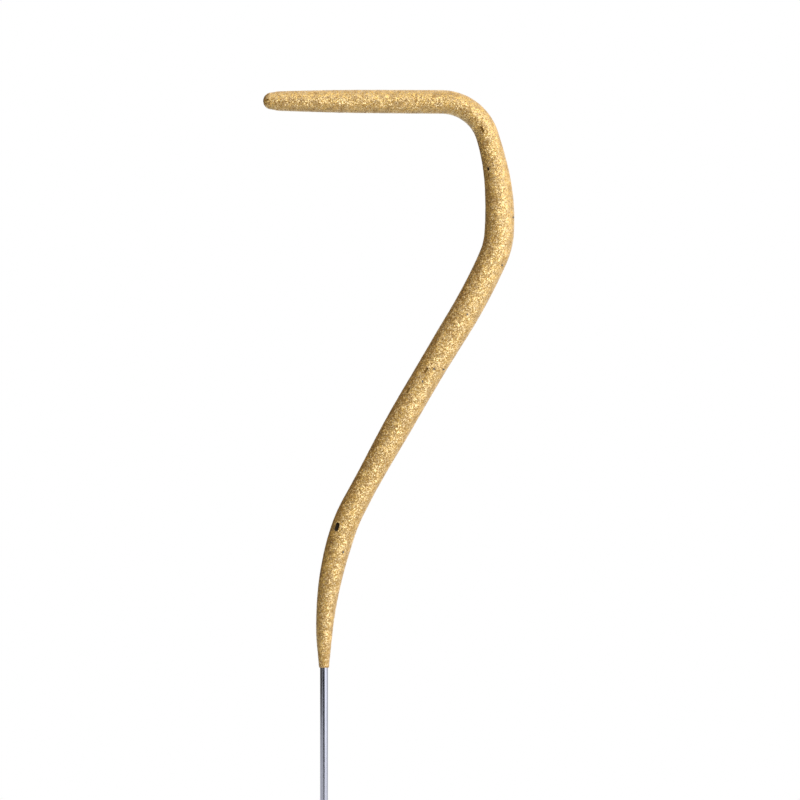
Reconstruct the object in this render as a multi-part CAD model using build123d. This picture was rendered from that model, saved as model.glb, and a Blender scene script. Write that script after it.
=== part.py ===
from build123d import *
import os
from math import ceil, cos, pi, radians, sin
from typing import NamedTuple

# A number-seven sparkler: a bent steel wire under three dips of dried sparkler paste and a gold skin.
# Millimetres, +Z up. The origin is on the wire's axis at its lower end. The figure lies in the XZ plane
# and reads as a seven from the -Y side. Each coat is a shell of its own, seated on the one beneath it.

# Wire, and the straight bare length left to hold it by, which ends where the coats start
WIRE_DIAMETER = 1.6
BARE_LENGTH = 64.5

# Wire bends from the bare length up: bend radii, turns in degrees to the right, and the straight bar
LEAD_RADIUS = 1200.0
LEAD_ANGLE = 0.2
SWEEP_RADIUS = 73.8
SWEEP_ANGLE = 18.46
KINK_RADIUS = 31.0
KINK_ANGLE = 9.36
LEG_RADIUS = 658.0
LEG_ANGLE = 3.64
SHOULDER_RADIUS = 113.5
SHOULDER_ANGLE = -7.68
KNEE_RADIUS = 14.9
KNEE_ANGLE = -20.2
RISER_RADIUS = 52.2
RISER_ANGLE = -21.66
ELBOW_RADIUS = 9.65
ELBOW_ANGLE = -71.8
BAR_LENGTH = 34.47

# Thickness of the dried paste on the wire: at the foot, above the foot's taper, then up the bends
FOOT_PASTE = 0.05
FOOT_TAPER_LENGTH = 8.0
COLLAR_PASTE = 0.75
SWEEP_END_PASTE = 1.62
KINK_END_PASTE = 1.62
LEG_WAIST_PASTE = 1.55
LEG_SWELL_PASTE = 1.85
LEG_SLACK_PASTE = 1.83
LEG_END_PASTE = 1.955
SHOULDER_END_PASTE = 1.975
KNEE_END_PASTE = 2.0
RISER_LOW_PASTE = 1.925
RISER_MID_PASTE = 1.665
RISER_HIGH_PASTE = 1.455
RISER_END_PASTE = 1.335
ELBOW_END_PASTE = 1.41
BAR_MID_PASTE = 1.38
NOSE_PASTE = 1.0
TIP_PASTE = 0.75
# Where the points between bend ends lie, as shares of the bend's length
LEG_WAIST_SHARE = 0.105
LEG_SWELL_SHARE = 0.49
LEG_SLACK_SHARE = 0.74
RISER_LOW_SHARE = 0.25
RISER_MID_SHARE = 0.55
RISER_HIGH_SHARE = 0.75
BAR_MID_SHARE = 0.4
# The rod narrows over its nose to a round tip, which is centred a little back from the wire's upper end
NOSE_LENGTH = 1.5
TIP_SETBACK = 0.5

# Coats from the wire out: equal dips of paste, each stopping a step above the next, and the gold over them
DIP_NAMES = ["first_dip_coat", "second_dip_coat", "third_dip_coat"]
FOOT_STEP = 1.5
GOLD_THICKNESS = 0.2
# A coat is drawn through circles on the wire, no further apart than this along it or in turn
SECTION_SPACING = 3.0
SECTION_ANGLE = 6.0
# The nose has this many steps of its own
NOSE_SECTIONS = 4

# Burst bubbles: blisters and pinholes go through the gold into the paste, dents and dimples do not
BLISTER_WIDTH = 1.0
BLISTER_LENGTH = 1.8
BLISTER_DEPTH = 0.65
PINHOLE_WIDTH = 0.65
PINHOLE_LENGTH = 0.75
PINHOLE_DEPTH = 0.3
DENT_WIDTH = 0.75
DENT_LENGTH = 1.45
DENT_DEPTH = 0.16
DIMPLE_WIDTH = 0.6
DIMPLE_LENGTH = 0.7
DIMPLE_DEPTH = 0.15

# Steel filings: five-cornered chips bedded in the gold, with a little gold left under them
FILING_LENGTH = 0.6
FILING_WIDTH = 0.4
FILING_PROUD = 0.06
FILING_FLOOR = 0.05
FILING_CORNERS = 5
# The least of a corner's three reaches, as a share of the greatest
FILING_LEAST_REACH = 0.75
FILING_SPACING = 4.5
# Most filings lie on the far side, as degrees round from the front, scattered by steps of the golden ratio
FAR_SIDE_START = 110
FAR_SIDE_SPAN = 140
GOLDEN_STEP = 0.618


class Stretch(NamedTuple):
    """One straight or evenly curved run of wire. Its heading is from +Z, positive towards +X."""

    name: str
    length: float
    turn: float
    station: float
    x: float
    z: float
    heading: float


class Hollow(NamedTuple):
    """The oval that a burst bubble leaves, with its length along the rod."""

    width: float
    length: float
    depth: float


class Pit(NamedTuple):
    """A hollow's place: its share of a stretch's length, and its angle from the front round to the right."""

    stretch: str
    share: float
    angle: float
    hollow: Hollow


class Speck(NamedTuple):
    """A filing's place, by the same share and angle."""

    stretch: str
    share: float
    angle: float


BLISTER = Hollow(BLISTER_WIDTH, BLISTER_LENGTH, BLISTER_DEPTH)
PINHOLE = Hollow(PINHOLE_WIDTH, PINHOLE_LENGTH, PINHOLE_DEPTH)
DENT = Hollow(DENT_WIDTH, DENT_LENGTH, DENT_DEPTH)
DIMPLE = Hollow(DIMPLE_WIDTH, DIMPLE_LENGTH, DIMPLE_DEPTH)
# The last pit is on the round tip, past the end of the wire
PITS = [
    Pit("kink", 0.034, -34, BLISTER),
    Pit("leg", 0.61, -39.5, DENT),
    Pit("leg", 0.738, -15.5, DENT),
    Pit("riser", 0.599, -41, DIMPLE),
    Pit("riser", 0.66, -39, PINHOLE),
    Pit("elbow", 0.118, -15, DENT),
    Pit("bar", 1.012, 6, DIMPLE),
]
FRONT_SPECKS = [
    Speck("sweep", 0.82, 30),
    Speck("leg", 0.684, -3),
    Speck("leg", 0.763, 11),
    Speck("leg", 0.785, 52),
    Speck("shoulder", 0.184, 11),
    Speck("shoulder", 0.96, 50),
    Speck("riser", 0.157, 66),
]


# The wire


def arc_run(radius, turn):
    """The length and turn of an arc of this radius."""
    return radius * radians(abs(turn)), turn


def beyond(x, z, heading, length, turn):
    """The point and heading after a run of this length that turns evenly by turn degrees."""
    start, end = radians(heading), radians(heading + turn)
    if turn == 0:
        return x + length * sin(start), z + length * cos(start), heading
    radius = length / radians(turn)
    return x + radius * (cos(start) - cos(end)), z + radius * (sin(end) - sin(start)), heading + turn


def lay_out():
    """The wire's stretches by name, each starting where the one before it ends."""
    runs = {
        "stem": (BARE_LENGTH, 0),
        "lead": arc_run(LEAD_RADIUS, LEAD_ANGLE),
        "sweep": arc_run(SWEEP_RADIUS, SWEEP_ANGLE),
        "kink": arc_run(KINK_RADIUS, KINK_ANGLE),
        "leg": arc_run(LEG_RADIUS, LEG_ANGLE),
        "shoulder": arc_run(SHOULDER_RADIUS, SHOULDER_ANGLE),
        "knee": arc_run(KNEE_RADIUS, KNEE_ANGLE),
        "riser": arc_run(RISER_RADIUS, RISER_ANGLE),
        "elbow": arc_run(ELBOW_RADIUS, ELBOW_ANGLE),
        "bar": (BAR_LENGTH, 0),
    }
    stretches = {}
    station, x, z, heading = 0, 0, 0, 0
    for name, (length, turn) in runs.items():
        stretches[name] = Stretch(name, length, turn, station, x, z, heading)
        x, z, heading = beyond(x, z, heading, length, turn)
        station += length
    return stretches


STRETCHES = lay_out()
WIRE_LENGTH = sum(stretch.length for stretch in STRETCHES.values())
TIP_STATION = WIRE_LENGTH - TIP_SETBACK


def stretch_at(station):
    """The stretch that a station lies in."""
    return next(stretch for stretch in reversed(STRETCHES.values()) if station >= stretch.station)


def station_at(name, share):
    """The station at this share of a stretch's length."""
    return STRETCHES[name].station + STRETCHES[name].length * share


def cross_section(station):
    """The plane across the wire: X to the front, Y to the right of the way up, Z along the wire."""
    stretch = stretch_at(station)
    run = station - stretch.station
    x, z, heading = beyond(stretch.x, stretch.z, stretch.heading, run, stretch.turn * run / stretch.length)
    along = (sin(radians(heading)), 0, cos(radians(heading)))
    return Plane(origin=(x, 0, z), x_dir=(0, -1, 0), z_dir=along)


def wire_between(low, high):
    """The wire from one station to another, along straight lines and tangent arcs."""
    edges = []
    for stretch in STRETCHES.values():
        start = max(low, stretch.station)
        end = min(high, station_at(stretch.name, 1))
        if start < end:
            points = [cross_section(station).origin for station in (start, (start + end) / 2, end)]
            edges.append(ThreePointArc(*points) if stretch.turn else Line(points[0], points[-1]))
    return sweep(cross_section(low) * Circle(WIRE_DIAMETER / 2), path=Wire(edges))


# The coats


def paste_profile():
    """Stations and paste thicknesses from foot to tip. A point below the collar is left out."""
    collar = BARE_LENGTH + FOOT_TAPER_LENGTH
    points = [
        ("sweep", 1, SWEEP_END_PASTE),
        ("kink", 1, KINK_END_PASTE),
        ("leg", LEG_WAIST_SHARE, LEG_WAIST_PASTE),
        ("leg", LEG_SWELL_SHARE, LEG_SWELL_PASTE),
        ("leg", LEG_SLACK_SHARE, LEG_SLACK_PASTE),
        ("leg", 1, LEG_END_PASTE),
        ("shoulder", 1, SHOULDER_END_PASTE),
        ("knee", 1, KNEE_END_PASTE),
        ("riser", RISER_LOW_SHARE, RISER_LOW_PASTE),
        ("riser", RISER_MID_SHARE, RISER_MID_PASTE),
        ("riser", RISER_HIGH_SHARE, RISER_HIGH_PASTE),
        ("riser", 1, RISER_END_PASTE),
        ("elbow", 1, ELBOW_END_PASTE),
        ("bar", BAR_MID_SHARE, BAR_MID_PASTE),
    ]
    placed = [(station_at(name, share), paste) for name, share, paste in points]
    above = [(station, paste) for station, paste in placed if station > collar]
    nose = [(TIP_STATION - NOSE_LENGTH, NOSE_PASTE), (TIP_STATION, TIP_PASTE)]
    return [(BARE_LENGTH, FOOT_PASTE), (collar, COLLAR_PASTE), *above, *nose]


PROFILE = paste_profile()


def paste_thickness(station):
    """The paste's thickness at a station: a smooth curve through the profile that never overshoots it."""
    rises = [(p1 - p0) / (s1 - s0) for (s0, p0), (s1, p1) in zip(PROFILE, PROFILE[1:])]
    inner = [2 * a * b / (a + b) if a * b > 0 else 0 for a, b in zip(rises, rises[1:])]
    slopes = [rises[0], *inner, rises[-1]]
    at = max(index for index, (start, _) in enumerate(PROFILE[:-1]) if station >= start)
    (s0, p0), (s1, p1) = PROFILE[at], PROFILE[at + 1]
    t = (station - s0) / (s1 - s0)
    bow = slopes[at] * (t**3 - 2 * t**2 + t) + slopes[at + 1] * (t**3 - t**2)
    return p0 + (p1 - p0) * (3 * t**2 - 2 * t**3) + (s1 - s0) * bow


def dip_radius(station, dips):
    """The radius after this many dips, each an equal part of the paste."""
    return WIRE_DIAMETER / 2 + paste_thickness(station) * dips / len(DIP_NAMES)


def gold_radius(station):
    """The radius of the finished rod."""
    return dip_radius(station, len(DIP_NAMES)) + GOLD_THICKNESS


def coat_stations(foot):
    """The stations of a coat's circles: its foot, the bends' ends, even steps between them, and the nose."""
    stations = [foot]
    for stretch in STRETCHES.values():
        start = max(foot, stretch.station)
        end = min(TIP_STATION, station_at(stretch.name, 1))
        if start < end:
            turn = abs(stretch.turn) * (end - start) / stretch.length
            steps = ceil(max((end - start) / SECTION_SPACING, turn / SECTION_ANGLE))
            stations += [start + (end - start) * step / steps for step in range(1, steps + 1)]
    nose_steps = [NOSE_LENGTH * step / NOSE_SECTIONS for step in range(NOSE_SECTIONS, -1, -1)]
    body = [station for station in stations if station < TIP_STATION - NOSE_LENGTH]
    return body + [TIP_STATION - step for step in nose_steps]


def coated_rod(foot, radius_at):
    """A solid rod along the wire, from its foot to a round tip."""
    circles = [cross_section(station) * Circle(radius_at(station)) for station in coat_stations(foot)]
    on_base = (Align.CENTER, Align.CENTER, Align.MIN)
    dome = cross_section(TIP_STATION) * Sphere(radius_at(TIP_STATION), arc_size1=0, align=on_base)
    return loft(circles, ruled=True) + dome


def coats():
    """The shells by name, from the first dip out. Each is bored for the wire below the coat inside it."""
    foot = BARE_LENGTH + FOOT_STEP * len(DIP_NAMES)
    inside = coated_rod(foot, lambda station: dip_radius(station, 1))
    shells = {DIP_NAMES[0]: inside - wire_between(foot - FOOT_STEP, WIRE_LENGTH)}
    outer_radii = {name: lambda s, n=n: dip_radius(s, n) for n, name in enumerate(DIP_NAMES[1:], start=2)}
    outer_radii["gold_finish_coat"] = gold_radius
    for name, radius_at in outer_radii.items():
        foot -= FOOT_STEP
        rod = coated_rod(foot, radius_at)
        bore = wire_between(foot - FOOT_STEP / 2, foot + FOOT_STEP * 3 / 2)
        shells[name] = rod - inside - bore
        inside = rod
    return shells


# Pits and filings


def surface_plane(stretch, share, angle):
    """The plane on the rod's surface: X up the wire, Z out of the rod. It leans over on the round tip."""
    station = station_at(stretch, share)
    across = cross_section(min(station, TIP_STATION))
    radius = gold_radius(min(station, TIP_STATION))
    lean = max(0, station - TIP_STATION) / radius
    sideways = across.x_dir * cos(radians(angle)) + across.y_dir * sin(radians(angle))
    outward = sideways * cos(lean) + across.z_dir * sin(lean)
    upward = across.z_dir * cos(lean) - sideways * sin(lean)
    return Plane(origin=across.origin + outward * radius, x_dir=upward, z_dir=outward)


def pit_hollow(pit):
    """A capsule lying along the rod, sunk to the hollow's depth."""
    radius = pit.hollow.width / 2
    run = pit.hollow.length - pit.hollow.width
    bed = surface_plane(pit.stretch, pit.share, pit.angle) * Pos(Z=radius - pit.hollow.depth)
    ends = [bed * Pos(X=side * run / 2) * Sphere(radius) for side in (-1, 1)]
    return bed * Rot(Y=90) * Cylinder(radius, run) + ends


def filing(number, speck):
    """One chip: an uneven prism lying in the surface, turned about by its number."""
    corners = []
    for corner in range(FILING_CORNERS):
        way = 2 * pi * corner / FILING_CORNERS
        reach = 1 - (1 - FILING_LEAST_REACH) * ((number + corner) % 3) / 2
        corners.append((reach * FILING_LENGTH / 2 * cos(way), reach * FILING_WIDTH / 2 * sin(way)))
    thickness = FILING_PROUD + GOLD_THICKNESS - FILING_FLOOR
    chip = extrude(Polygon(*corners, align=None), amount=-thickness)
    return surface_plane(*speck) * Pos(Z=FILING_PROUD) * Rot(Z=360 * GOLDEN_STEP * number) * chip


def back_specks():
    """Filings on the far side of the rod, evenly along it and scattered round it."""
    specks = []
    first = BARE_LENGTH + FOOT_TAPER_LENGTH
    for number in range(int((TIP_STATION - first) / FILING_SPACING)):
        station = first + FILING_SPACING * (number + 0.5)
        stretch = stretch_at(station)
        angle = FAR_SIDE_START + FAR_SIDE_SPAN * (GOLDEN_STEP * number % 1)
        specks.append(Speck(stretch.name, (station - stretch.station) / stretch.length, angle))
    return specks


def build():
    """Every piece by name. Pits are sunk in the two outer coats, and filings in the gold."""
    hollows = [pit_hollow(pit) for pit in PITS]
    chips = [filing(number, speck) for number, speck in enumerate(FRONT_SPECKS + back_specks())]
    pieces = {"core_wire": wire_between(0, WIRE_LENGTH), **coats()}
    pieces[DIP_NAMES[-1]] -= hollows
    pieces["gold_finish_coat"] -= hollows + chips
    pieces["steel_filings"] = Compound(children=[chip.solid() for chip in chips])
    return pieces


os.makedirs("parts", exist_ok=True)
for node, piece in build().items():
    export_step(piece, f"parts/{node}.step")
    size = piece.bounding_box().size
    print(f"{node}: {len(piece.solids())} solids, {piece.volume:.1f} mm3")
    print(f"    {size.X:.2f} x {size.Y:.2f} x {size.Z:.2f} mm")
print(f"wire: {WIRE_LENGTH:.1f} mm long, {pi * WIRE_DIAMETER**2 / 4 * WIRE_LENGTH:.1f} mm3 by its section")
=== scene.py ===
import math

import bmesh
import bpy
import numpy as np
from mathutils import Matrix, Vector, noise


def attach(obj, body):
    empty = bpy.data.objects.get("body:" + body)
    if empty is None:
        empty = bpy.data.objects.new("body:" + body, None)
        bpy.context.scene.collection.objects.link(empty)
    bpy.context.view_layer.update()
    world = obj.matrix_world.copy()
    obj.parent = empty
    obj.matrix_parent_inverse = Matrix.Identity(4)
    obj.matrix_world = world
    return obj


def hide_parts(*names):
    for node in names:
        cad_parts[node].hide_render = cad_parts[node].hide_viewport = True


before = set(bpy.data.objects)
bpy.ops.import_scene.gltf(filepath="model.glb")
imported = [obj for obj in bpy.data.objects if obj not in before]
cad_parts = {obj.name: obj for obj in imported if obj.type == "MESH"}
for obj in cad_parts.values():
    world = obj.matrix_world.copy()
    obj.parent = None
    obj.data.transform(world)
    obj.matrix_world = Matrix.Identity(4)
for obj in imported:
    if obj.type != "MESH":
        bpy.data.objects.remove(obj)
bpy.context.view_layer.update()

# Core wire
# One length of drawn mild steel wire, bent cold into a seven. Its lower stretch stays bare and bright
# as the handle, and the die leaves fine scratches along it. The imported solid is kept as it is.

MM = 0.001
WIRE_RADIUS = 0.8 * MM
BARE_LENGTH = 64.5 * MM
# Arcs above the bare length: name, radius in millimetres and degrees turned to the right
WIRE_ARCS = [
    ("lead", 1200.0, 0.2), ("sweep", 73.8, 18.46), ("kink", 31.0, 9.36), ("leg", 658.0, 3.64),
    ("shoulder", 113.5, -7.68), ("knee", 14.9, -20.2), ("riser", 52.2, -21.66), ("elbow", 9.65, -71.8)]
BAR_LENGTH = 34.47 * MM
BEND_NAMES = ["stem"] + [name for name, _, _ in WIRE_ARCS] + ["bar"]
ARC_LENGTHS = [math.radians(abs(turn)) * radius * MM for _, radius, turn in WIRE_ARCS]
BEND_LENGTHS = np.array([BARE_LENGTH] + ARC_LENGTHS + [BAR_LENGTH])
BEND_TURNS = np.radians([0.0] + [turn for _, _, turn in WIRE_ARCS] + [0.0])
BEND_STARTS = np.concatenate([[0.0], np.cumsum(BEND_LENGTHS)])
WIRE_LENGTH = BEND_STARTS[-1]
WIRE_STEEL = "#B0B2BE"
WIRE_SCRATCH = "#8A8C9A"
WIRE_ROUGHNESS = (0.08, 0.2)
# The die's scratches are finer than this, which is the least width that shows
SCRATCH_WIDTH = 0.12 * MM
SCRATCH_LENGTH = 6.0 * MM
SCRATCH_DEPTH = 0.01 * MM


def linear(code):
    """A colour written as sRGB hex, as linear red, green, blue and alpha."""
    channels = [int(code[at:at + 2], 16) / 255 for at in (1, 3, 5)]
    return [c / 12.92 if c <= 0.04045 else ((c + 0.055) / 1.055) ** 2.4 for c in channels] + [1.0]


def add_node(tree, kind, settings=None, inputs=None):
    """A new shader node with its settings, and its inputs set or linked."""
    made = tree.nodes.new("ShaderNode" + kind)
    for name, value in (settings or {}).items():
        setattr(made, name, value)
    for name, value in (inputs or {}).items():
        if isinstance(value, bpy.types.NodeSocket):
            tree.links.new(value, made.inputs[name])
        else:
            made.inputs[name].default_value = value
    return made


def new_material(name):
    """An empty node material, its tree and its surface socket."""
    material = bpy.data.materials.new(name)
    material.use_nodes = True
    tree = material.node_tree
    tree.nodes.clear()
    return material, tree, tree.nodes.new("ShaderNodeOutputMaterial").inputs["Surface"]


def wire_line(stations):
    """Points and headings of the wire's axis at these stations, as arrays of x, z and heading."""
    x, z, heading = 0.0, 0.0, 0.0
    xs, zs, headings = (np.zeros(len(stations)) for _ in range(3))
    for index, (length, turn) in enumerate(zip(BEND_LENGTHS, BEND_TURNS)):
        last = index == len(BEND_LENGTHS) - 1
        here = (stations >= BEND_STARTS[index]) & ((stations < BEND_STARTS[index + 1]) | last)
        run = np.append(stations[here] - BEND_STARTS[index], length)
        bearing = heading + turn * run / length
        if turn:
            radius = length / turn
            along_x = x + radius * (math.cos(heading) - np.cos(bearing))
            along_z = z + radius * (np.sin(bearing) - math.sin(heading))
        else:
            along_x = x + run * math.sin(heading)
            along_z = z + run * math.cos(heading)
        xs[here], zs[here], headings[here] = along_x[:-1], along_z[:-1], bearing[:-1]
        x, z, heading = along_x[-1], along_z[-1], bearing[-1]
    return xs, zs, headings


def drawn_steel_wire():
    """Bright drawn steel: a tight reflection broken by lengthwise scratches from the die."""
    material, tree, surface = new_material("drawn_steel_wire")
    place = add_node(tree, "TexCoord").outputs["Object"]
    # Scratches run up the straight stem, so the pattern is stretched along Z
    stretched = add_node(tree, "Mapping", None, {
        "Vector": place, "Scale": (1.0, 1.0, SCRATCH_WIDTH / SCRATCH_LENGTH)})
    lines = add_node(tree, "TexNoise", None, {
        "Vector": stretched.outputs["Vector"], "Scale": 1 / SCRATCH_WIDTH, "Detail": 3.0, "Roughness": 0.6})
    # A colour mix has its two colours on inputs 6 and 7 and the mixed one on output 2
    colour = add_node(tree, "Mix", {"data_type": "RGBA"}, {
        "Factor": lines.outputs["Fac"], 6: linear(WIRE_SCRATCH), 7: linear(WIRE_STEEL)})
    gloss = add_node(tree, "MapRange", None, {
        "Value": lines.outputs["Fac"], "To Min": WIRE_ROUGHNESS[0], "To Max": WIRE_ROUGHNESS[1]})
    relief = add_node(tree, "Bump", None, {
        "Height": lines.outputs["Fac"], "Strength": 0.25, "Distance": SCRATCH_DEPTH})
    steel = add_node(tree, "BsdfPrincipled", None, {
        "Base Color": colour.outputs[2], "Metallic": 1.0, "Roughness": gloss.outputs["Result"],
        "Normal": relief.outputs["Normal"]})
    tree.links.new(steel.outputs["BSDF"], surface)
    return material


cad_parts["core_wire"].data.materials.clear()
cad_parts["core_wire"].data.materials.append(drawn_steel_wire())

# Dips of sparkler paste
# Three dips of oxidiser, metal powder and binder, each dried on the last. The outermost shows only
# at the bottom of the pits in the gold, as a dull, dark and crumbly bed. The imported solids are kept.

DIP_NODES = ["first_dip_coat", "second_dip_coat", "third_dip_coat"]
PASTE_DARK = "#1C1510"
PASTE_PALE = "#4A3A28"
PASTE_ROUGHNESS = 0.9
PASTE_CRUMB = 0.25 * MM
CRUMB_DEPTH = 0.1 * MM


def dried_sparkler_paste():
    """Dried paste: matt and dark, with paler crumbs of oxidiser in it."""
    material, tree, surface = new_material("dried_sparkler_paste")
    place = add_node(tree, "TexCoord").outputs["Object"]
    crumbs = add_node(tree, "TexNoise", None, {
        "Vector": place, "Scale": 1 / PASTE_CRUMB, "Detail": 4.0, "Roughness": 0.65})
    colour = add_node(tree, "Mix", {"data_type": "RGBA"}, {
        "Factor": crumbs.outputs["Fac"], 6: linear(PASTE_DARK), 7: linear(PASTE_PALE)})
    relief = add_node(tree, "Bump", None, {
        "Height": crumbs.outputs["Fac"], "Strength": 0.8, "Distance": CRUMB_DEPTH})
    paste = add_node(tree, "BsdfPrincipled", None, {
        "Base Color": colour.outputs[2], "Roughness": PASTE_ROUGHNESS, "Normal": relief.outputs["Normal"]})
    tree.links.new(paste.outputs["BSDF"], surface)
    return material


PASTE = dried_sparkler_paste()
for dip in DIP_NODES:
    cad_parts[dip].data.materials.clear()
    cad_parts[dip].data.materials.append(PASTE)

# Gold finish coat
# A last thin dip of binder and coarse gold pigment. It dries as a skin of grains, uneven along the
# rod, with burst bubbles left as pits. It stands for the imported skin, at the same radii and thickness.

GOLD_THICKNESS = 0.2 * MM
COLLAR_HEIGHT = 8.0 * MM
TIP_SETBACK = 0.5 * MM
TIP_STATION = WIRE_LENGTH - TIP_SETBACK
# Paste under the gold: millimetres of it at the foot and the collar, then by bend and share of the bend
FOOT_PASTE = 0.05
COLLAR_PASTE = 0.75
PASTE_UP_BENDS = [
    ("sweep", 1.0, 1.62), ("kink", 1.0, 1.62), ("leg", 0.105, 1.55), ("leg", 0.49, 1.85),
    ("leg", 0.74, 1.83), ("leg", 1.0, 1.955), ("shoulder", 1.0, 1.975), ("knee", 1.0, 2.0),
    ("riser", 0.25, 1.925), ("riser", 0.55, 1.665), ("riser", 0.75, 1.455), ("riser", 1.0, 1.335),
    ("elbow", 1.0, 1.41), ("bar", 0.4, 1.38)]
NOSE_LENGTH = 1.5 * MM
NOSE_PASTE = 1.0
TIP_PASTE = 0.75
# Burst bubbles: width, length and depth in millimetres by kind. Dents and dimples stay within the gold
PIT_SIZES = {
    "blister": (1.0, 1.8, 0.65), "pinhole": (0.65, 0.75, 0.3), "dent": (0.75, 1.45, 0.16),
    "dimple": (0.6, 0.7, 0.15)}
# Their rims are ragged: the size of a notch and its depth, as shares of the width
RIM_WAVE = 0.45
RIM_ROUGH = 0.09
# Their places: kind, bend, share of the bend's length and degrees round from the front
PITS = [
    ("blister", "kink", 0.034, -34), ("dent", "leg", 0.61, -39.5), ("dent", "leg", 0.738, -15.5),
    ("dimple", "riser", 0.599, -41), ("pinhole", "riser", 0.66, -39), ("dent", "elbow", 0.118, -15),
    ("dimple", "bar", 1.012, 6)]
PIT_SEGMENTS = 24
PIT_RINGS = 16
NEAR_ZERO = 1e-9
# Cells of the outer skin are about 0.18 mm, fine enough to carry the grain as shape
RINGS_ALONG = 880
CELLS_ROUND = 96
DOME_RINGS = 16
INNER_STEP = 14
# The skin's unevenness, from slow lumps to grain, each set apart from the others by an offset
LUMP_SIZE = 4.0 * MM
LUMP_DEPTH = 0.03 * MM
KNOB_SIZE = 1.3 * MM
KNOB_DEPTH = 0.025 * MM
KNOB_OFFSET = Vector((11, 2, 9))
GRAIN_SIZE = 0.3 * MM
GRAIN_DEPTH = 0.035 * MM
GRAIN_OFFSET = Vector((7, 3, 5))
FRONT = Vector((0, -1, 0))
# Binder: amber with browner patches, dull in itself, and drawn over the flakes as a clear film
BINDER_GOLD = "#F6B850"
BINDER_BROWN = "#9A661E"
BINDER_ROUGHNESS = 0.75
BINDER_SPECULAR = 0.1
FILM_ROUGHNESS = 0.4
PATCH_EDGE = (0.35, 0.6)
PATCH_COVER = 0.68
# Flakes of brass: most are finer than this, which is the least size that shows
FLAKE_DEEP = "#F3CE68"
FLAKE_PALE = "#FDEEC4"
FLAKE_SIZE = 0.17 * MM
FLAKE_TILT = 0.45
FLAKE_ROUGHNESS = 0.3
FLAKE_SHOWN = (0.35, 0.75)
# Cells where a flake is lost, in a darker brown that is bare binder and also painted shade of the crevices
# between grains, and the walls of the pits, which take the skin's second material
GAP_AND_CREVICE_SHADE_BROWN = "#B88848"
GAP_AND_CREVICE_SHADE_ROUGHNESS = 0.9
GAP_AND_CREVICE_SHADE_SHARE = 0.35
GAP_AND_CREVICE_SHADE_COVER = 0.1
# Pit walls: brown binder without flakes, darker than the skin as painted shade of the hollow
PIT_WALL_BINDER_AND_SHADE = "#A07A3C"
PIT_WALL_BINDER_AND_SHADE_DARK = "#7C5C2C"
BARE_ROUGHNESS = 0.7
PIT_SLOT = 1


def station_at(bend, share):
    """The distance up the wire to this share of a bend's length."""
    index = BEND_NAMES.index(bend)
    return BEND_STARTS[index] + BEND_LENGTHS[index] * share


def paste_thickness(stations):
    """The paste's thickness under the gold: a smooth curve through its values that never overshoots."""
    knots = [(BARE_LENGTH, FOOT_PASTE), (BARE_LENGTH + COLLAR_HEIGHT, COLLAR_PASTE)]
    knots += [(station_at(bend, share), paste) for bend, share, paste in PASTE_UP_BENDS]
    knots += [(TIP_STATION - NOSE_LENGTH, NOSE_PASTE), (TIP_STATION, TIP_PASTE)]
    s, p = np.array(knots).T
    p = p * MM
    rise = np.diff(p) / np.diff(s)
    product, total = rise[:-1] * rise[1:], rise[:-1] + rise[1:]
    inner = np.where(product > 0, 2 * product / np.where(total == 0, 1, total), 0)
    slope = np.concatenate([rise[:1], inner, rise[-1:]])
    at = np.clip(np.searchsorted(s, stations, side="right") - 1, 0, len(s) - 2)
    width = s[at + 1] - s[at]
    t = (stations - s[at]) / width
    bow = slope[at] * (t**3 - 2 * t**2 + t) + slope[at + 1] * (t**3 - t**2)
    return p[at] + (p[at + 1] - p[at]) * (3 * t**2 - 2 * t**3) + width * bow


def surface_at(centre, heading, radius, angle, lean=0.0):
    """The point on the rod at an angle round it, its outward way and its way up the rod."""
    along = Vector((math.sin(heading), 0, math.cos(heading)))
    right = Vector((math.cos(heading), 0, -math.sin(heading)))
    sideways = FRONT * math.cos(angle) + right * math.sin(angle)
    outward = sideways * math.cos(lean) + along * math.sin(lean)
    upward = along * math.cos(lean) - sideways * math.sin(lean)
    return centre + outward * radius, outward, upward


def grain_sink(at):
    """How far the skin lies below the smooth rod at a point: its slow lumps, its knobs and its grain."""
    lump = noise.noise(at / LUMP_SIZE)
    knob = noise.noise(at / KNOB_SIZE + KNOB_OFFSET)
    grain = noise.noise(at / GRAIN_SIZE + GRAIN_OFFSET)
    depths = ((LUMP_DEPTH, lump), (KNOB_DEPTH, knob), (GRAIN_DEPTH, grain))
    return sum(depth * (0.5 - 0.5 * height) for depth, height in depths)


def coat_sheet(count, inset, rough):
    """Vertices of one sheet of the coat, ring by ring and over the round tip, with the pole last."""
    dome = np.linspace(0, math.pi / 2, DOME_RINGS + 1)[1:]
    stations = np.append(np.linspace(BARE_LENGTH, TIP_STATION, count), np.full(len(dome), TIP_STATION))
    leans = np.append(np.zeros(count), dome)
    xs, zs, headings = wire_line(stations)
    radii = WIRE_RADIUS + paste_thickness(stations) + GOLD_THICKNESS - inset
    angles = np.linspace(0, 2 * math.pi, CELLS_ROUND, endpoint=False)
    points = []
    for x, z, heading, radius, lean in zip(xs, zs, headings, radii, leans):
        for angle in angles if lean < dome[-1] else angles[:1]:
            at, outward, _ = surface_at(Vector((x, 0, z)), heading, radius, angle, lean)
            points.append(at - outward * grain_sink(at) if rough else at)
    return points, len(stations) - 1


def sheet_faces(rings, start):
    """Quads between the rings of a sheet, and the fan that closes it at the tip."""
    faces = []
    pole = start + rings * CELLS_ROUND
    for ring in range(rings):
        for cell in range(CELLS_ROUND):
            a = start + ring * CELLS_ROUND + cell
            b = start + ring * CELLS_ROUND + (cell + 1) % CELLS_ROUND
            faces.append((a, b, pole) if ring == rings - 1 else (a, b, b + CELLS_ROUND, a + CELLS_ROUND))
    return faces


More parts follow.
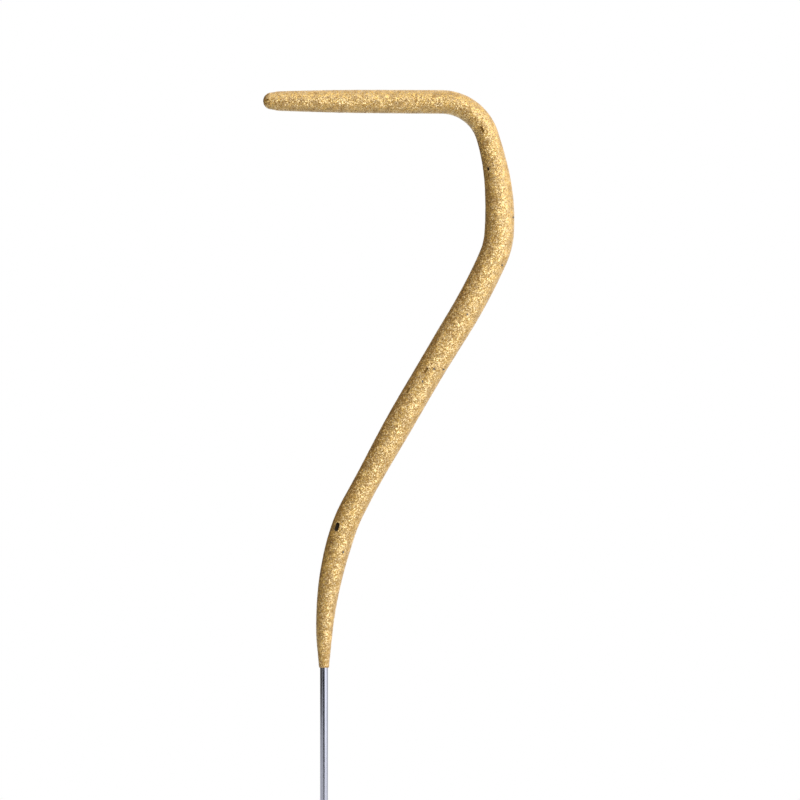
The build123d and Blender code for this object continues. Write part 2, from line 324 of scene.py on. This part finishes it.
def pit_cutter(pit):
    """A capsule lying along the rod, sunk to the pit's depth, with notches all over it."""
    kind, bend, share, angle = pit
    width, length, depth = PIT_SIZES[kind]
    station = station_at(bend, share)
    on_rod = np.array([min(station, TIP_STATION)])
    (x,), (z,), (heading,) = wire_line(on_rod)
    radius = WIRE_RADIUS + paste_thickness(on_rod)[0] + GOLD_THICKNESS
    lean = max(0.0, station - TIP_STATION) / radius
    at, outward, upward = surface_at(Vector((x, 0, z)), heading, radius, math.radians(angle), lean)
    shape = bmesh.new()
    bmesh.ops.create_uvsphere(
        shape, u_segments=PIT_SEGMENTS, v_segments=PIT_RINGS, radius=width / 2 * MM)
    for vert in shape.verts:
        if abs(vert.co.z) > NEAR_ZERO:
            vert.co.z += math.copysign((length - width) / 2 * MM, vert.co.z)
        notch = noise.noise(vert.co / (width * RIM_WAVE * MM))
        vert.co += vert.co.normalized() * notch * width * RIM_ROUGH * MM
    turn = Matrix((outward.cross(upward), outward, upward)).transposed().to_4x4()
    shape.transform(Matrix.Translation(at + outward * (width / 2 - depth) * MM) @ turn)
    mesh = bpy.data.meshes.new("pit")
    shape.to_mesh(mesh)
    shape.free()
    for material in SKIN_MATERIALS:
        mesh.materials.append(material)
    for face in mesh.polygons:
        face.material_index = PIT_SLOT
    return bpy.data.objects.new("pit", mesh)


def gold_pigment_skin():
    """Coarse brass flakes in an amber binder: each flake has its own tilt, with brown between them that is
    partly painted shade of the crevices.
    """
    material, tree, surface = new_material("gold_pigment_skin")
    place = add_node(tree, "TexCoord").outputs["Object"]
    flakes = add_node(tree, "TexVoronoi", None, {"Vector": place, "Scale": 1 / FLAKE_SIZE})
    chance = add_node(tree, "SeparateColor", None, {"Color": flakes.outputs["Color"]}).outputs
    patches = add_node(tree, "TexNoise", None, {
        "Vector": place, "Scale": 1 / KNOB_SIZE, "Detail": 4.0, "Roughness": 0.65})
    # Each flake lies at its own tilt: its random colour leans the surface's normal
    tilt = add_node(tree, "VectorMath", {"operation": "MULTIPLY_ADD"}, {
        0: flakes.outputs["Color"], 1: (2 * FLAKE_TILT,) * 3, 2: (-FLAKE_TILT,) * 3})
    facing = add_node(tree, "NewGeometry").outputs["Normal"]
    leaned = add_node(tree, "VectorMath", {"operation": "ADD"}, {0: facing, 1: tilt.outputs["Vector"]})
    normal = add_node(tree, "VectorMath", {"operation": "NORMALIZE"}, {0: leaned.outputs["Vector"]})
    film = {"Coat Weight": 1.0, "Coat Roughness": FILM_ROUGHNESS, "Normal": normal.outputs["Vector"]}
    stain = add_node(tree, "MapRange", None, {
        "Value": patches.outputs["Fac"], "From Min": PATCH_EDGE[0], "From Max": PATCH_EDGE[1]})
    amber = add_node(tree, "Mix", {"data_type": "RGBA"}, {
        "Factor": stain.outputs["Result"], 6: linear(BINDER_BROWN), 7: linear(BINDER_GOLD)})
    binder = add_node(tree, "BsdfPrincipled", None, {
        "Base Color": amber.outputs[2], "Roughness": BINDER_ROUGHNESS,
        "Specular IOR Level": BINDER_SPECULAR, **film})
    brass = add_node(tree, "Mix", {"data_type": "RGBA"}, {
        "Factor": chance["Blue"], 6: linear(FLAKE_DEEP), 7: linear(FLAKE_PALE)})
    flake = add_node(tree, "BsdfPrincipled", None, {
        "Base Color": brass.outputs[2], "Metallic": 1.0, "Roughness": FLAKE_ROUGHNESS, **film})
    # A flake near the surface shows most of its face, and one deep in the binder little of it
    shown = add_node(tree, "MapRange", None, {
        "Value": chance["Green"], "To Min": FLAKE_SHOWN[0], "To Max": FLAKE_SHOWN[1]})
    filled = add_node(tree, "MixShader", None, {
        0: shown.outputs["Result"], 1: binder.outputs["BSDF"], 2: flake.outputs["BSDF"]})
    # About one cell in three has lost some of its flake and shows darker brown, which is bare binder and
    # painted crevice shade, and more so in a brown patch
    gap_and_crevice_shade = add_node(tree, "BsdfPrincipled", None, {
        "Base Color": linear(GAP_AND_CREVICE_SHADE_BROWN), "Roughness": GAP_AND_CREVICE_SHADE_ROUGHNESS, "Specular IOR Level": BINDER_SPECULAR})
    kept = add_node(tree, "MapRange", None, {
        "Value": chance["Red"], "From Max": GAP_AND_CREVICE_SHADE_SHARE, "To Min": GAP_AND_CREVICE_SHADE_COVER})
    clean = add_node(tree, "MapRange", None, {"Value": stain.outputs["Result"], "To Min": PATCH_COVER})
    cover = add_node(tree, "Math", {"operation": "MULTIPLY"}, {
        0: kept.outputs["Result"], 1: clean.outputs["Result"]})
    skin = add_node(tree, "MixShader", None, {
        0: cover.outputs["Value"], 1: gap_and_crevice_shade.outputs["BSDF"], 2: filled.outputs["Shader"]})
    tree.links.new(skin.outputs["Shader"], surface)
    return material


def pit_wall_binder_and_shade():
    """The wall of a burst bubble: dull brown binder with no flakes lying in it, darkened as painted shade
    of the hollow.
    """
    material, tree, surface = new_material("pit_wall_binder_and_shade")
    place = add_node(tree, "TexCoord").outputs["Object"]
    mottle = add_node(tree, "TexNoise", None, {"Vector": place, "Scale": 1 / GRAIN_SIZE, "Detail": 3.0})
    colour = add_node(tree, "Mix", {"data_type": "RGBA"}, {
        "Factor": mottle.outputs["Fac"], 6: linear(PIT_WALL_BINDER_AND_SHADE_DARK), 7: linear(PIT_WALL_BINDER_AND_SHADE)})
    binder = add_node(tree, "BsdfPrincipled", None, {
        "Base Color": colour.outputs[2], "Roughness": BARE_ROUGHNESS,
        "Specular IOR Level": BINDER_SPECULAR})
    tree.links.new(binder.outputs["BSDF"], surface)
    return material


SKIN_MATERIALS = [gold_pigment_skin(), pit_wall_binder_and_shade()]
outer, outer_rings = coat_sheet(RINGS_ALONG, 0.0, True)
inner, inner_rings = coat_sheet(RINGS_ALONG // INNER_STEP, GOLD_THICKNESS, False)
faces = sheet_faces(outer_rings, 0)
faces += [face[::-1] for face in sheet_faces(inner_rings, len(outer))]
for cell in range(CELLS_ROUND):
    after = (cell + 1) % CELLS_ROUND
    faces.append((after, cell, len(outer) + cell, len(outer) + after))
whole_mesh = bpy.data.meshes.new("gold_grain_coat")
whole_mesh.from_pydata([tuple(point) for point in outer + inner], [], faces)
for material in SKIN_MATERIALS:
    whole_mesh.materials.append(material)
gold_coat = bpy.data.objects.new("gold_grain_coat", whole_mesh)
bpy.context.scene.collection.objects.link(gold_coat)
cutters = [pit_cutter(pit) for pit in PITS]
for cutter in cutters:
    bpy.context.scene.collection.objects.link(cutter)
    cut = gold_coat.modifiers.new("pit", "BOOLEAN")
    cut.solver = "MANIFOLD"
    cut.object = cutter
bpy.context.view_layer.update()
pitted_coat = gold_coat.evaluated_get(bpy.context.evaluated_depsgraph_get())
pitted_mesh = bpy.data.meshes.new_from_object(pitted_coat)
gold_coat.modifiers.clear()
gold_coat.data = pitted_mesh
for cutter in cutters:
    bpy.data.objects.remove(cutter)
pitted_mesh.shade_smooth()

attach(gold_coat, "root")
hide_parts("gold_finish_coat")

# Steel filings
# Coarse chips of steel stirred into the paste for the sparks. A few come through the gold and lie
# flush in it, dulled and blued by the drying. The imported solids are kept.

FILING_BLUE = "#8C8A8C"
FILING_DARK = "#57524C"
FILING_METALLIC = 0.8
FILING_ROUGHNESS = 0.5
FILING_STAIN = 0.3 * MM


def blued_steel_filing():
    """Dull blued steel: part metal, part dark oxide."""
    material, tree, surface = new_material("blued_steel_filing")
    place = add_node(tree, "TexCoord").outputs["Object"]
    stain = add_node(tree, "TexNoise", None, {"Vector": place, "Scale": 1 / FILING_STAIN, "Detail": 3.0})
    colour = add_node(tree, "Mix", {"data_type": "RGBA"}, {
        "Factor": stain.outputs["Fac"], 6: linear(FILING_DARK), 7: linear(FILING_BLUE)})
    steel = add_node(tree, "BsdfPrincipled", None, {
        "Base Color": colour.outputs[2], "Metallic": FILING_METALLIC, "Roughness": FILING_ROUGHNESS})
    tree.links.new(steel.outputs["BSDF"], surface)
    return material


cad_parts["steel_filings"].data.materials.clear()
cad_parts["steel_filings"].data.materials.append(blued_steel_filing())

# Studio
# A white paper floor that fades into a white surround, one large soft lamp at the right, and two felt
# boards that the camera doesn't see: a brown-grey one along the left and a black one behind the camera.

FIGURE_CENTRE = Vector((15.2 * MM, 0, 118 * MM))
# The floor, in metres: half its side, and how far from the wire it keeps its own tone before it fades
FLOOR_HALF = 0.45
FLOOR_CLEAR = 0.15
FLOOR_GLOW = 0.42
FLOOR_PAPER = "#A4A4A2"
FLOOR_FIBRE = "#9E9E9C"
FLOOR_MOTTLE = 3.33 * MM
# The boards' corners, in metres: the left one rises towards the back, and the front one is wider below
LEFT_CORNERS = [(-0.3, -0.9, 0.033), (-0.3, 1.0, 0.033), (-0.3, 1.0, 0.95), (-0.3, -0.9, 0.18)]
LEFT_FELT = ("#544E46", "#605A50")
FRONT_CORNERS = [(-0.8, -1.4, -0.3), (0.9, -1.4, -0.3), (0.05, -1.4, 0.28), (-0.6, -1.4, 0.28)]
FRONT_FELT = ("#1C1C20", "#28282C")
FELT_MOTTLE = 2.5 * MM
WHITE = (1.0, 1.0, 1.0, 1.0)
FILL_LEVEL = 0.9
LAMP_OFFSET = Vector((0.8, -0.6, 0.35))
LAMP_SIZE = 1.3
LAMP_WATTS = 7.6
CAMERA_DISTANCE = 1.0
VIEW_WIDTH = 160 * MM
SENSOR_WIDTH = 36.0


def show_white(tree):
    """One where the camera, a mirror or a glass looks, and nothing where light only bounces."""
    rays = add_node(tree, "LightPath").outputs
    mirrors = add_node(tree, "Math", {"operation": "MAXIMUM"}, {
        0: rays["Is Glossy Ray"], 1: rays["Is Transmission Ray"]})
    return add_node(tree, "Math", {"operation": "MAXIMUM"}, {
        0: rays["Is Camera Ray"], 1: mirrors.outputs["Value"]}).outputs["Value"]


def white_paper_floor():
    """Pale paper that takes the shadow near the wire and fades to the white surround at its edge."""
    material, tree, surface = new_material("white_paper_floor")
    place = add_node(tree, "TexCoord").outputs["Object"]
    reach = add_node(tree, "VectorMath", {"operation": "LENGTH"}, {0: place})
    fade = add_node(tree, "MapRange", None, {
        "Value": reach.outputs["Value"], "From Min": FLOOR_CLEAR, "From Max": FLOOR_HALF,
        "To Min": FLOOR_GLOW, "To Max": 1.0})
    strength = add_node(tree, "Math", {"operation": "MULTIPLY"}, {
        0: fade.outputs["Result"], 1: show_white(tree)})
    glow = add_node(tree, "Emission", None, {"Color": WHITE, "Strength": strength.outputs["Value"]})
    fibres = add_node(tree, "TexNoise", None, {"Vector": place, "Scale": 1 / FLOOR_MOTTLE, "Detail": 3.0})
    paper = add_node(tree, "Mix", {"data_type": "RGBA"}, {
        "Factor": fibres.outputs["Fac"], 6: linear(FLOOR_FIBRE), 7: linear(FLOOR_PAPER)})
    matt = add_node(tree, "BsdfDiffuse", None, {"Color": paper.outputs[2]})
    both = add_node(tree, "AddShader", None, {0: glow.outputs["Emission"], 1: matt.outputs["BSDF"]})
    tree.links.new(both.outputs["Shader"], surface)
    return material


def wool_felt(name, tones):
    """Matt felt over a board, in two near tones."""
    material, tree, surface = new_material(name)
    place = add_node(tree, "TexCoord").outputs["Object"]
    fibres = add_node(tree, "TexNoise", None, {"Vector": place, "Scale": 1 / FELT_MOTTLE})
    felt = add_node(tree, "Mix", {"data_type": "RGBA"}, {
        "Factor": fibres.outputs["Fac"], 6: linear(tones[0]), 7: linear(tones[1])})
    matt = add_node(tree, "BsdfDiffuse", None, {"Color": felt.outputs[2]})
    tree.links.new(matt.outputs["BSDF"], surface)
    return material


def stage_board(name, corners, material, seen):
    """A flat board of the studio, which is no part of the object."""
    mesh = bpy.data.meshes.new(name)
    mesh.from_pydata(corners, [], [(0, 1, 2, 3)])
    mesh.materials.append(material)
    board = bpy.data.objects.new(name, mesh)
    board.visible_camera = seen
    bpy.context.scene.collection.objects.link(board)


floor_corners = [(x * FLOOR_HALF, y * FLOOR_HALF, 0) for x, y in ((-1, -1), (1, -1), (1, 1), (-1, 1))]
stage_board("floor", floor_corners, white_paper_floor(), True)
stage_board("left_board", LEFT_CORNERS, wool_felt("brown_grey_felt", LEFT_FELT), False)
stage_board("front_board", FRONT_CORNERS, wool_felt("black_felt", FRONT_FELT), False)

world = bpy.data.worlds.new("white_studio")
world.use_nodes = True
sky = world.node_tree
sky.nodes.clear()
level = add_node(sky, "MapRange", None, {"Value": show_white(sky), "To Min": FILL_LEVEL, "To Max": 1.0})
surround = add_node(sky, "Background", None, {"Color": WHITE, "Strength": level.outputs["Result"]})
add_node(sky, "OutputWorld", None, {"Surface": surround.outputs["Background"]})
bpy.context.scene.world = world

lamp = bpy.data.lights.new("soft_lamp", "AREA")
lamp.size = LAMP_SIZE
lamp.energy = LAMP_WATTS
lamp_object = bpy.data.objects.new("soft_lamp", lamp)
lamp_object.location = FIGURE_CENTRE + LAMP_OFFSET
lamp_object.rotation_euler = (FIGURE_CENTRE - lamp_object.location).to_track_quat("-Z", "Y").to_euler()
lamp_object.visible_camera = False
bpy.context.scene.collection.objects.link(lamp_object)

camera = bpy.data.cameras.new("camera")
camera.sensor_width = SENSOR_WIDTH
camera.lens = SENSOR_WIDTH * CAMERA_DISTANCE / VIEW_WIDTH
camera_object = bpy.data.objects.new("camera", camera)
camera_object.location = FIGURE_CENTRE + Vector((0, -CAMERA_DISTANCE, 0))
camera_object.rotation_euler = (math.pi / 2, 0, 0)
bpy.context.scene.collection.objects.link(camera_object)
bpy.context.scene.camera = camera_object
bpy.context.scene.view_settings.view_transform = "Standard"
